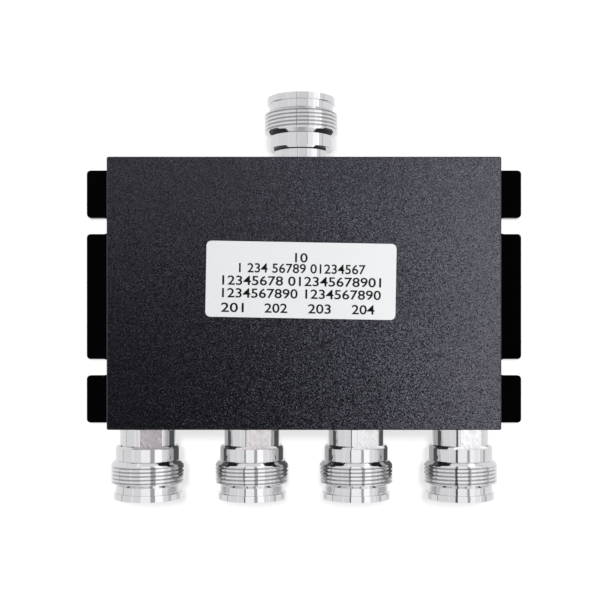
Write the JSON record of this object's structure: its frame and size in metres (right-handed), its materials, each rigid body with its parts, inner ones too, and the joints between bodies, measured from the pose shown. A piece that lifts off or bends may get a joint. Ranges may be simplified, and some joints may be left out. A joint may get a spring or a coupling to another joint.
{
  "type": "rf power splitter",
  "caption": "Flat metal box that divides a radio signal among coaxial ports, with threaded jacks on two opposite sides and a slotted mounting plate beneath.",
  "frame": {"origin": "centre of the mounting plate's underside", "axes": "+X along the row of output jacks, +Y towards the input jack, +Z from the mounting plate to the labelled top face"},
  "size_m": [0.123, 0.1091, 0.0222],
  "materials": {
    "housing_coat": "matte",
    "plate_coat": "satin",
    "jack_plating": "polished",
    "contact_plating": "satin",
    "insulator": "satin",
    "label": "satin",
    "seal": "matte",
    "screw": "satin",
    "laminate": "matte",
    "strip": "satin"
  },
  "bodies": {
    "root": {"housing": "housing_coat", "base_plate": "plate_coat", "cover_seal": "seal", "cover_screw_1": "screw", "cover_screw_2": "screw", "cover_screw_3": "screw", "cover_screw_4": "screw", "cover_screw_5": "screw", "cover_screw_6": "screw", "cover_screw_7": "screw", "cover_screw_8": "screw", "cover_screw_9": "screw", "cover_screw_10": "screw", "cover_screw_11": "screw", "label": "label", "circuit_board": "laminate", "strip_line": "strip", "board_screw_1": "screw", "board_screw_2": "screw", "board_screw_3": "screw", "board_screw_4": "screw", "board_screw_5": "screw", "board_screw_6": "screw", "in_body": "jack_plating", "in_insulator": "insulator", "in_contact": "contact_plating", "in_seal": "seal", "out_1_body": "jack_plating", "out_1_insulator": "insulator", "out_1_contact": "contact_plating", "out_1_seal": "seal", "out_2_body": "jack_plating", "out_2_insulator": "insulator", "out_2_contact": "contact_plating", "out_2_seal": "seal", "out_3_body": "jack_plating", "out_3_insulator": "insulator", "out_3_contact": "contact_plating", "out_3_seal": "seal", "out_4_body": "jack_plating", "out_4_insulator": "insulator", "out_4_contact": "contact_plating", "out_4_seal": "seal"}
  },
  "joints": []
}
